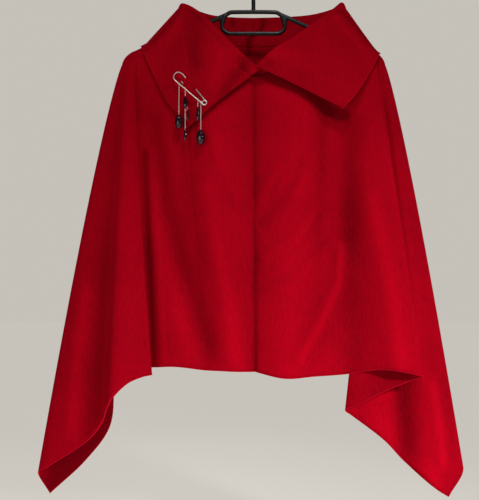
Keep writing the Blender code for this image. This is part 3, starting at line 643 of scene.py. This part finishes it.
def wool_material(name, dark, light, edge, sheen):
    material, tree, shader, place = new_material(name)
    brushed = node(tree, "ShaderNodeMapping", Scale=NAP_LENGTHENED)
    tree.links.new(place, brushed.inputs["Vector"])
    nap = noise(tree, brushed.outputs["Vector"], NAP_SCALE, 3.0, 0.6)
    mixed = node(tree, "ShaderNodeMix", Factor=NAP_SHARE)
    tree.links.new(noise(tree, place, CLOUD_SCALE, 3.0), mixed.inputs["A"])
    tree.links.new(nap, mixed.inputs["B"])
    # This attribute carries painted light and shade: it lightens the colour on ridges and darkens it in
    # troughs.
    painted_shading = node(tree, "ShaderNodeAttribute", attribute_name="painted_shading").outputs["Fac"]
    nap_and_painted_shade = node(tree, "ShaderNodeMath", operation="ADD")
    tree.links.new(mixed.outputs["Result"], nap_and_painted_shade.inputs[0])
    tree.links.new(ranged(tree, painted_shading, -PAINTED_SHADE_RANGE, PAINTED_SHADE_RANGE, -0.5, 0.5), nap_and_painted_shade.inputs[1])
    from_edge = node(tree, "ShaderNodeAttribute", attribute_name="raw_edge").outputs["Fac"]
    edged = node(tree, "ShaderNodeMix", data_type="RGBA")
    tree.links.new(ranged(tree, from_edge, EDGE_LINE[1], EDGE_LINE[0], 0.0, 1.0), edged.inputs["Factor"])
    tree.links.new(toned(tree, nap_and_painted_shade.outputs["Value"], dark, light), edged.inputs[6])
    edged.inputs[7].default_value = (*edge, 1)
    tree.links.new(edged.outputs[2], shader.inputs["Base Color"])
    fibres = noise(tree, place, FIBRE_SCALE, 2.0, 0.7)
    rough_nap = bumped(tree, fibres, 0.25, 0.0002, bumped(tree, nap, 0.35, 0.0006))
    tree.links.new(rough_nap, shader.inputs["Normal"])
    dial(shader, {"Roughness": 0.92, "Specular IOR Level": 0.01, "Sheen Weight": sheen,
                  "Sheen Roughness": 0.45, "Sheen Tint": (1.0, 0.005, 0.03, 1)})
    return material


CUT_RED = (0.66, 0.004, 0.022)
wool = wool_material("Red felted wool", (0.19, 0.0003, 0.0050), (0.67, 0.0010, 0.0150), CUT_RED, 0.25)
cut_wool = wool_material("Cut edge of the wool", (0.55, 0.004, 0.014), (0.72, 0.010, 0.024), CUT_RED, 0.4)
print("wool materials:", wool.name, "and", cut_wool.name)

# %% [markdown]
# ## The two fronts and the back
#
# The panels are made from their grids. Where a corner turns and its wrong side shows, the colour is
# painted a tone darker, as shade on the layer behind the fold. A soft line under the collar's front
# edges is painted darker too, as the collar's shadow.

# %% Fronts and back
# Painted shade for the turned-back layers: how much darker, over the runs given.
RIGHT_TURNED_SHADE = ((2.70, 2.76), (0.0, 0.010))
LEFT_TURNED_SHADE = ((2.08, 2.14, 2.26, 2.32), (0.0, 0.004, 0.004, 0.0))
# Painted shadow under the collar's front edges, laid out as lines like the creases.
PAINTED_COLLAR_SHADOW = [Crease(*row) for row in (
    (0.0, 1.9, 0.0070, 0.0240, ((0.012, -0.211), (0.070, -0.239), (0.136, -0.273), (0.146, -0.272))),
    (0.0, 1.9, 0.0045, 0.0130, ((-0.010, -0.222), (-0.060, -0.263), (-0.103, -0.300))),
)]


def front_cloth(name, grid, runs, turned_shade):
    """A front with painted shade on its turned-back layers and a painted shadow under the collar's front
    edges.
    """
    painted_shade = np.interp(runs, *turned_shade)[:, None] + on_panel(PAINTED_COLLAR_SHADOW, grid, runs)
    return cloth_piece(name, grid, painted_shade)


front_right_cloth = front_cloth("front_right_cloth", front_right, front_right_runs, RIGHT_TURNED_SHADE)
front_left_cloth = front_cloth("front_left_cloth", front_left, front_left_runs, LEFT_TURNED_SHADE)
back_cloth = cloth_piece("back_cloth", back_grid)
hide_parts("front_right")
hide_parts("front_left")
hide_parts("back")

# %% [markdown]
# ## The collar
#
# A wide collar is sewn to the neck: it stands up to the roll line, turns over and falls to its edge
# on the shoulders. Each row is one section through it, from the front edge round to the centre back.
# The left half laps over the right one in front, and its edge stands a little off the cloth.

# %% Collar sections
Section = namedtuple("Section", "name face run roll_x roll_y roll_z edge_x edge_y edge_z steps")
COLLAR_RIGHT = [Section(*row) for row in (
    ("front edge", "front", 0.04, 0.0075, -0.0590, -0.2060, -0.1052, -0.0400, -0.2962, 3),
    ("point", "front", 0.25, -0.0260, -0.0590, -0.1747, -0.1216, -0.0390, -0.2738, 3),
    ("fall front", "front", 0.50, -0.0519, -0.0545, -0.1468, -0.1391, -0.0360, -0.2527, 3),
    ("fall side", "front", 0.75, -0.0803, -0.0430, -0.1122, -0.1580, -0.0300, -0.2173, 3),
    ("shoulder front", "front", 0.93, -0.1048, -0.0190, -0.0841, -0.1759, -0.0180, -0.1782, 5),
    ("peak", "front", 1.00, -0.1196, 0.0030, -0.0690, -0.1873, 0.0020, -0.1480, 3),
    ("shoulder back", "back", 0.90, -0.1090, 0.0200, -0.0681, -0.1780, 0.0280, -0.1620, 3),
    ("back side", "back", 0.62, -0.0755, 0.0450, -0.0695, -0.1320, 0.0600, -0.1740, 3),
    ("back", "back", 0.30, -0.0369, 0.0570, -0.0690, -0.0680, 0.0760, -0.1810, 3),
    ("centre back", "back", 0.00, -HALF_GAP, 0.0610, -0.0685, -HALF_GAP, 0.0800, -0.1830, 0),
)]
COLLAR_LEFT = [Section(*row) for row in (
    ("front edge", "front", 0.10, 0.0040, -0.0670, -0.2032, 0.1410, -0.0550, -0.2682, 3),
    ("point", "front", 0.25, 0.0344, -0.0600, -0.1713, 0.1620, -0.0500, -0.2448, 3),
    ("fall front", "front", 0.50, 0.0640, -0.0500, -0.1506, 0.1766, -0.0440, -0.2222, 3),
    ("fall side", "front", 0.75, 0.0949, -0.0400, -0.1234, 0.1902, -0.0340, -0.2003, 3),
    ("shoulder front", "front", 0.93, 0.1273, -0.0220, -0.0946, 0.2024, -0.0180, -0.1760, 5),
    ("peak", "front", 1.00, 0.1496, 0.0020, -0.0677, 0.2088, 0.0020, -0.1600, 3),
    ("shoulder back", "back", 0.90, 0.1428, 0.0200, -0.0685, 0.1960, 0.0290, -0.1690, 3),
    ("back side", "back", 0.62, 0.1094, 0.0440, -0.0690, 0.1450, 0.0600, -0.1780, 3),
    ("back", "back", 0.30, 0.0608, 0.0560, -0.0688, 0.0720, 0.0760, -0.1820, 3),
    ("centre back", "back", 0.00, HALF_GAP, 0.0610, -0.0685, HALF_GAP, 0.0800, -0.1830, 0),
)]
ROLL_REACH = 0.0045
ROLL_REACH_SHARE = 0.22
ROLL_SHARE_STAND = 0.25
ROLL_SHARE_FALL = 0.11
FALL_LIFT = 0.0052
SHOULDER_LIFT = 0.0032
NECK_STEP = 0.0008
COLLAR_FINER = 5
STAND_STEPS = 10
ROLL_STEPS = 7
FALL_STEPS = 36
FRONT_FALL_Y = -0.012
BESIDE_SEAM = 0.02
SHOULDER_X = (0.150, 0.175)
FIRST_LAYER = 1.75
# Only the collar's front, in front of this depth, gets painted shade in its creases.
CREASE_SHADE_Y = -0.02
print(len(COLLAR_RIGHT), "sections in each half of the collar")

# %% [markdown]
# The fall lies on the panels, so each of its points is tested against their surface with a search
# tree, and moved out along the surface's normal where it would come too near.


# %% Laying the collar on the panels
def surface_tree(grids):
    points, faces = [], []
    for grid in grids:
        down, first = grid.shape[1], len(points)
        points += [Vector(p) for column in grid for p in column]
        outwards = (grid[-1, 0, 0] < 0) == (grid[len(grid) // 4, -1, 1] < 0)
        for i in range(len(grid) - 1):
            for j in range(down - 1):
                a = first + i * down + j
                face = (a, a + down, a + down + 1, a + 1)
                faces.append(face if outwards else face[::-1])
    return BVHTree.FromPolygons(points, faces)


def front_depth(grid, runs, x, z):
    """How far out the panel's first layer of cloth stands at x and z."""
    layer = grid[runs < FIRST_LAYER, BELOW_ROLL:]
    across = [np.interp(-z, -column[:, 2], column[:, 0]) for column in layer]
    depth = [np.interp(-z, -column[:, 2], column[:, 1]) for column in layer]
    order = np.argsort(across)
    return float(np.interp(x, np.array(across)[order], np.array(depth)[order]))


def kept_off(tree, point):
    lift = float(np.interp(abs(point[0]), SHOULDER_X, (FALL_LIFT, SHOULDER_LIFT)))
    place, normal, _, distance = tree.find_nearest(Vector(point))
    if distance > 3 * lift or (Vector(point) - place).dot(normal) >= lift:
        return point
    return np.array(place + normal * lift)


def roll_over(neck, roll, edge):
    """Control points of the round roll, whose crest is the roll point."""
    before = roll + (neck - roll) * ROLL_SHARE_STAND
    after = roll + (edge - roll) * ROLL_SHARE_FALL
    over = (edge - roll) / np.linalg.norm(edge - roll) - (neck - roll) / np.linalg.norm(neck - roll)
    over *= min(ROLL_REACH, ROLL_REACH_SHARE * np.linalg.norm(neck - roll)) / np.linalg.norm(over)
    return before, roll - over, roll + over, after


def collar_grid(side, sections, panel, runs, tree):
    rows = []
    for s in sections:
        round_neck = s.run if s.face == "front" else 2 - s.run
        rows.append((s.roll_x, s.roll_y, s.roll_z, s.edge_x, s.edge_y, s.edge_z, round_neck))
    grid = []
    for row in through(rows, [s.steps * COLLAR_FINER for s in sections]):
        roll, edge, round_neck = row[0:3], row[3:6], row[6]
        face = "front" if round_neck <= 1 else "back"
        seam = neck_point(face, side, round_neck if face == "front" else max(0.0, 2 - round_neck))
        neck = seam + (roll - seam) / np.linalg.norm(roll - seam) * NECK_STEP
        before, inner, outer, after = roll_over(neck, roll, edge)
        points = [neck + (before - neck) * k / STAND_STEPS for k in range(STAND_STEPS)]
        for start, bend, end in ((before, inner, roll), (roll, outer, after)):
            for t in np.linspace(0, 1, ROLL_STEPS + 1)[:-1]:
                points.append((1 - t) ** 2 * start + 2 * t * (1 - t) * bend + t**2 * end)
        for k in range(FALL_STEPS + 1):
            point = after + (edge - after) * k / FALL_STEPS
            if point[1] < FRONT_FALL_Y and abs(point[0]) > BESIDE_SEAM:
                point[1] = min(point[1], front_depth(panel, runs, point[0], point[2]) - FALL_LIFT)
            point[1] += crease_depth(COLLAR_CREASES, point[:1], point[2:], 1.0)[0]
            points.append(kept_off(tree, point) if k > 0 else point)
        grid.append(points)
    grid = np.array(grid)
    grid[-1, :, 0] = side * SEWN_GAP
    return grid


COLLAR_CREASES = [Crease(*row) for row in (
    (0, 2, 0.0110, 0.0060, ((-0.013, -0.193), (-0.029, -0.216), (-0.048, -0.245))),
    (0, 2, 0.0140, 0.0050, ((-0.095, -0.118), (-0.098, -0.155), (-0.093, -0.191))),
    (0, 2, 0.0110, -0.0040, ((-0.052, -0.175), (-0.070, -0.230))),
    (0, 2, 0.0090, 0.0030, ((0.021, -0.200), (0.050, -0.203), (0.075, -0.213))),
    (0, 2, 0.0100, -0.0022, ((0.034, -0.184), (0.072, -0.190), (0.101, -0.200))),
)]
body_tree = surface_tree([front_right, front_left, back_right, back_left])
collar_right = collar_grid(-1, COLLAR_RIGHT, front_right, front_right_runs, body_tree)
collar_left = collar_grid(1, COLLAR_LEFT, front_left, front_left_runs, body_tree)


def collar_cloth(name, grid):
    # Painted shade: the collar's colour is darker in its creases and lighter on its ridges.
    painted_crease_shade = on_panel(COLLAR_CREASES, grid, np.ones(len(grid)))
    return cloth_piece(name, grid, painted_crease_shade * (grid[..., 1] < CREASE_SHADE_Y))


collar_right_cloth = collar_cloth("collar_right_cloth", collar_right)
collar_left_cloth = collar_cloth("collar_left_cloth", collar_left)
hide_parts("collar_right")
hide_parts("collar_left")

# %% [markdown]
# ## The hanger
#
# A black moulded hanger: a round bar bent at its shoulders, a loop below its middle and a hook above
# it, with a small web at each upper corner of the loop. Each run is a circle that is repeated along its
# path and bridged, ring after ring. All runs then become one body with a voxel remesh, and a light
# smoothing gives the small fillets where they meet.


# %% Tube along a path
def tube(shape, path, radius, sides):
    """Bridges rings along a path of points and closes both ends."""
    path = [Vector(p) for p in path]
    rings, previous = [], None
    for k, point in enumerate(path):
        along = (path[min(k + 1, len(path) - 1)] - path[max(k - 1, 0)]).normalized()
        if previous is None:
            turn = along.to_track_quat("Z", "Y")
        else:
            turn = previous[0].rotation_difference(along) @ previous[1]
        previous = (along, turn)
        matrix = Matrix.Translation(point) @ turn.to_matrix().to_4x4()
        made = bmesh.ops.create_circle(shape, segments=sides, radius=radius, matrix=matrix)
        rings.append(made["verts"])
    for a, b in zip(rings[:-1], rings[1:]):
        edges = [e for ring in (a, b) for e in {e for v in ring for e in v.link_edges}
                 if e.verts[0] in ring and e.verts[1] in ring]
        bmesh.ops.bridge_loops(shape, edges=edges)
    for end in (rings[0], rings[-1]):
        bmesh.ops.contextual_create(shape, geom=end)


def arc(centre, radius, start, end, count):
    angles = np.radians(np.linspace(start, end, count))
    return [(centre[0] + radius * math.cos(a), 0.0, centre[1] + radius * math.sin(a)) for a in angles]


def finished(name, shape, material, body, replaced):
    mesh = bpy.data.meshes.new(name)
    bmesh.ops.remove_doubles(shape, verts=shape.verts, dist=1e-7)
    bmesh.ops.recalc_face_normals(shape, faces=shape.faces)
    shape.to_mesh(mesh)
    shape.free()
    mesh.shade_smooth()
    mesh.materials.append(material)
    obj = added(name, mesh)
    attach(obj, body)
    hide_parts(*replaced)
    print(name, len(mesh.polygons), "faces")
    return obj


# %% Hanger plastic
plastic, tree, shader, place = new_material("Black moulded plastic")
smear = noise(tree, place, 35.0, 3.0)
grain = bumped(tree, noise(tree, place, 900.0, 2.0), 0.08, 0.0001)
tint = toned(tree, smear, (0.0025, 0.0025, 0.003), (0.006, 0.006, 0.007))
tree.links.new(tint, shader.inputs["Base Color"])
tree.links.new(ranged(tree, smear, 0.0, 1.0, 0.28, 0.46), shader.inputs["Roughness"])
tree.links.new(grain, shader.inputs["Normal"])


# %% Hanger body
BAR_BEND = [(0.030, 0.0, BAR_Z), (0.039, 0.0, BAR_Z - 0.0006), (0.046, 0.0, arm_z(0.046) - 0.0003)]
ARM_PLACES = (0.056, 0.100, 0.150, ARM_TIP_X)
LOOP_TOP = (LOOP_HALF + 0.0015, 0.0, arm_z(LOOP_HALF + 0.002))
WEB_TOP = (0.0480, arm_z(0.0480) - 0.0012)
WEB_FOOT = (0.0530, LOOP_Z + LOOP_CORNER + 0.0035)
TUBE_SIDES = 20
VOXEL = 0.0009


def both_sides(right):
    return [(-x, y, z) for x, y, z in reversed(right)] + right


bar_path = through(both_sides(BAR_BEND + [(x, 0.0, arm_z(x)) for x in ARM_PLACES]), [4] * 13)
loop_corner = (LOOP_HALF - LOOP_CORNER, LOOP_Z + LOOP_CORNER)
loop_path = both_sides(arc(loop_corner, LOOP_CORNER, -90, 0, 12) + [LOOP_TOP])
crook = arc((0.0, HOOK_CENTRE_Z), HOOK_RADIUS, HOOK_JOIN, HOOK_END, 48)
turn_start, join = math.radians(HOOK_JOIN), np.array(crook[0])
away = np.array([-math.sin(turn_start), 0.0, math.cos(turn_start)])
stem_top = np.array([0.0, 0.0, HOOK_STEM_TOP])
first, second = stem_top + np.array([0, 0, HOOK_EASE]), join - away * HOOK_EASE
hook_path = [(0.0, 0.0, BAR_Z)]
for t in np.linspace(0, 1, 12)[:-1]:
    near_stem = (1 - t) ** 3 * stem_top + 3 * t * (1 - t) ** 2 * first
    hook_path.append(tuple(near_stem + 3 * t**2 * (1 - t) * second + t**3 * join))
hook_path += crook

hanger_shape = bmesh.new()
for path in (bar_path, loop_path, hook_path):
    tube(hanger_shape, path, TUBE_RADIUS, TUBE_SIDES)
for side in (-1, 1):
    tube(hanger_shape, [(side * x, 0.0, z) for x, z in (WEB_TOP, WEB_FOOT)], WEB_RADIUS, TUBE_SIDES)
hanger = finished("hanger", hanger_shape, plastic, "cape",
                  ["hanger_bar", "hanger_loop", "hanger_hook"])
fused = hanger.modifiers.new("One moulding", "REMESH")
fused.mode = "VOXEL"
fused.voxel_size = VOXEL
fused.use_smooth_shade = True
rounder = hanger.modifiers.new("Fillets", "SMOOTH")
rounder.factor = 0.5
rounder.iterations = 4

# %% [markdown]
# ## The kilt pin
#
# One piece of silvered wire: a hook at the upper end, a straight bar, a spring coil at the lower end
# and an arm that goes back into the cloth. The point comes out again beside the hook. The wire is a
# row of bridged rings along a smooth curve.

# %% Pin metal
def metal_material(name, colour, roughness, metallic):
    material, tree, shader, place = new_material(name)
    wear = noise(tree, place, 260.0, 4.0)
    roughened = ranged(tree, wear, 0.0, 1.0, roughness * 0.7, roughness * 1.5)
    tree.links.new(roughened, shader.inputs["Roughness"])
    tree.links.new(toned(tree, wear, [c * 0.8 for c in colour], colour), shader.inputs["Base Color"])
    shader.inputs["Metallic"].default_value = metallic
    return material


silver = metal_material("Silvered wire", (0.92, 0.84, 0.78), 0.3, 0.6)
chain_silver = metal_material("Silvered chain", (0.95, 0.74, 0.68), 0.4, 0.35)

# %% Pin wire
WIRE = 0.0018
PIN_Y_HOOK = -0.0446
PIN_Y_COIL = -0.0600
PIN_HOOK = ((-0.1099, -0.2178), (-0.1145, -0.2115), (-0.1189, -0.2079), (-0.1235, -0.2066),
            (-0.1272, -0.2085), (-0.1292, -0.2120), (-0.1293, -0.2160), (-0.1271, -0.2200))
COIL_CENTRE = (-0.0792, -0.2610)
COIL_RADIUS = 0.0035
COIL_TURNS = 1.5
COIL_PITCH = 0.0020
COIL_START = 225.0
COIL_STEPS = 24
WIRE_SIDES = 12
ARM_END = (-0.0926, -0.0560, -0.2385)
POINT_START = (-0.1135, -0.0448, -0.2262)
POINT_END = (-0.1172, -0.0470, -0.2215)


def pin_y(x):
    share = (x - PIN_HOOK[-1][0]) / (COIL_CENTRE[0] - PIN_HOOK[-1][0])
    return PIN_Y_HOOK + (PIN_Y_COIL - PIN_Y_HOOK) * max(0.0, share)


def bar_z(x):
    start, to_coil = PIN_HOOK[-1], COIL_RADIUS * math.sqrt(0.5)
    end = (COIL_CENTRE[0] - to_coil, COIL_CENTRE[1] - to_coil)
    return start[1] + (end[1] - start[1]) * (x - start[0]) / (end[0] - start[0])


hook_bends = through([(x, pin_y(x), z) for x, z in PIN_HOOK], [5] * 7)
coil_points = []
for k in range(int(COIL_TURNS * COIL_STEPS) + 1):
    angle = math.radians(COIL_START + 360 / COIL_STEPS * k)
    x, z = COIL_CENTRE[0] + COIL_RADIUS * math.cos(angle), COIL_CENTRE[1] + COIL_RADIUS * math.sin(angle)
    coil_points.append((x, PIN_Y_COIL + COIL_PITCH * k / COIL_STEPS, z))
pin_shape = bmesh.new()
tube(pin_shape, [tuple(p) for p in hook_bends] + coil_points + [ARM_END], WIRE / 2, WIRE_SIDES)
finished("kilt_pin", pin_shape, silver, "cape", ["pin_wire"])
point_shape = bmesh.new()
tube(point_shape, [POINT_START, POINT_END], WIRE / 3, WIRE_SIDES)
finished("kilt_pin_point", point_shape, silver, "cape", ["pin_point"])

# %% [markdown]
# ## Chains and beads
#
# Four drops hang from rings round the pin's bar and can swing on it. A chain is a row of oval links,
# each turned a quarter against the last. A link is a small circle spun round its middle and then
# stretched. The beads are dark garnet glass, most of them long and faceted, so they are made with few
# sides and a small bevel.

# %% Drop measurements
Bead = namedtuple("Bead", "node x top bottom width")
DROP_RINGS = {"drop_1": -0.1205, "drop_2": -0.1102, "drop_3": -0.0896, "drop_4": -0.0847}
BEADS = (
    Bead("drop_1_bead", -0.1205, -0.2775, -0.3000, 0.0132),
    Bead("drop_2_bead_upper", -0.1102, -0.2481, -0.2677, 0.0076),
    Bead("drop_2_bead_lower", -0.1098, -0.3013, -0.3214, 0.0050),
    Bead("drop_2_bead_side", -0.1058, -0.2690, -0.2885, 0.0042),
    Bead("drop_3_bead", -0.0896, -0.2677, -0.2907, 0.0054),
    Bead("drop_4_bead", -0.0847, -0.3052, -0.3293, 0.0150),
)
RING_RADIUS = 0.0026
RING_SAG = 0.0005
RING_WIRE = 0.0005
LINK_LENGTH = 0.0021
LINK_RADIUS = LINK_LENGTH / 3.2
LINK_STRETCH = 1.5
LINK_STEP = LINK_LENGTH * 0.78
LINK_WIRE = 0.00032
JUMP_RING_RADIUS = 0.0021
JUMP_RING_WIRE = 0.0003
JUMP_RING_OFFSET = (-0.0019, 0.0009)
INTO_RING = 0.0002
ENDS_CUT = 1.04
FACET_ROUNDING = 0.00022


# %% Links
def ring(shape, centre, radius, wire, turn=0.0, stretch=1.0, segments=16, sides=6):
    """A ring of wire: a small circle spun round the ring's middle. Unturned, its hole looks along X."""
    made = bmesh.ops.create_circle(shape, segments=sides, radius=wire)["verts"]
    bmesh.ops.translate(shape, verts=made, vec=(0, radius, 0))
    edges = list({e for v in made for e in v.link_edges})
    before = set(shape.verts)
    bmesh.ops.spin(shape, geom=made + edges, cent=(0, 0, 0), axis=(1, 0, 0), angle=2 * math.pi,
                   steps=segments, use_merge=True)
    verts = made + [v for v in shape.verts if v not in before]
    bmesh.ops.scale(shape, verts=verts, vec=(1, 1, stretch))
    bmesh.ops.rotate(shape, verts=verts, cent=(0, 0, 0), matrix=Matrix.Rotation(turn, 3, "Z"))
    bmesh.ops.translate(shape, verts=verts, vec=centre)


def chain(shape, top, bottom):
    """Oval links from one point to another, each turned a quarter against the last."""
    top, bottom = Vector(top), Vector(bottom)
    count = max(1, round((top - bottom).length / LINK_STEP))
    for k in range(count):
        centre, turn = top.lerp(bottom, (k + 0.5) / count), k % 2 * math.pi / 2
        ring(shape, centre, LINK_RADIUS, LINK_WIRE, turn, LINK_STRETCH, segments=10, sides=5)


# %% Garnet glass
garnet, tree, shader, place = new_material("Dark garnet glass")
cloudy = toned(tree, noise(tree, place, 180.0, 3.0), (0.006, 0.002, 0.004), (0.050, 0.008, 0.018), 0.35, 0.75)
tree.links.new(cloudy, shader.inputs["Base Color"])
dial(shader, {"Roughness": 0.08, "Coat Weight": 0.25, "Coat Roughness": 0.04})


# %% Beads
def glass_bead(spec, sides=10, rings=8):
    """A long bead: a sphere with few sides, drawn out, its ends cut where the wire goes in."""
    body = spec.node[:6]
    shape = bmesh.new()
    bmesh.ops.create_uvsphere(shape, u_segments=sides, v_segments=rings, radius=0.5)
    height = spec.top - spec.bottom
    bmesh.ops.scale(shape, verts=shape.verts, vec=(spec.width, spec.width, height * ENDS_CUT))
    for sign in (1, -1):
        cut = {"plane_co": (0, 0, sign * height / 2), "plane_no": (0, 0, sign)}
        geometry = list(shape.verts) + list(shape.edges) + list(shape.faces)
        bmesh.ops.bisect_plane(shape, geom=geometry, clear_outer=True, **cut)
        rim = [e for e in shape.edges if e.is_boundary]
        bmesh.ops.contextual_create(shape, geom=rim)
    centre = Vector((spec.x, pin_y(DROP_RINGS[body]), (spec.top + spec.bottom) / 2))
    bmesh.ops.bevel(shape, geom=list(shape.edges), offset=FACET_ROUNDING, offset_type="OFFSET",
                    segments=2, profile=0.5, affect="EDGES", material=-1)
    bmesh.ops.translate(shape, verts=shape.verts, vec=centre)
    return finished(spec.node + "_glass", shape, garnet, body, [spec.node])


for spec in BEADS:
    glass_bead(spec)

# %% Chains of the four drops
bead_of = {spec.node: spec for spec in BEADS}
for drop, x in DROP_RINGS.items():
    y, z = pin_y(x), bar_z(x) - RING_SAG
    highest = max(spec.top for spec in BEADS if spec.node.startswith(drop))
    shape = bmesh.new()
    ring(shape, (x, y, z), RING_RADIUS, RING_WIRE, segments=24, sides=8)
    chain(shape, (x, y, z - RING_RADIUS), (x, y, highest + INTO_RING))
    finished(drop + "_links", shape, chain_silver, drop, [drop + "_chain"])

upper, lower, side_bead = (bead_of["drop_2_bead_" + which] for which in ("upper", "lower", "side"))
y = pin_y(DROP_RINGS["drop_2"])
shape = bmesh.new()
chain(shape, (upper.x, y, upper.bottom), (lower.x, y, lower.top))
jump_ring = (side_bead.x + JUMP_RING_OFFSET[0], y, side_bead.top + JUMP_RING_OFFSET[1])
ring(shape, jump_ring, JUMP_RING_RADIUS, JUMP_RING_WIRE, math.pi / 2, segments=14, sides=5)
finished("drop_2_lower_links", shape, chain_silver, "drop_2", ["drop_2_link"])
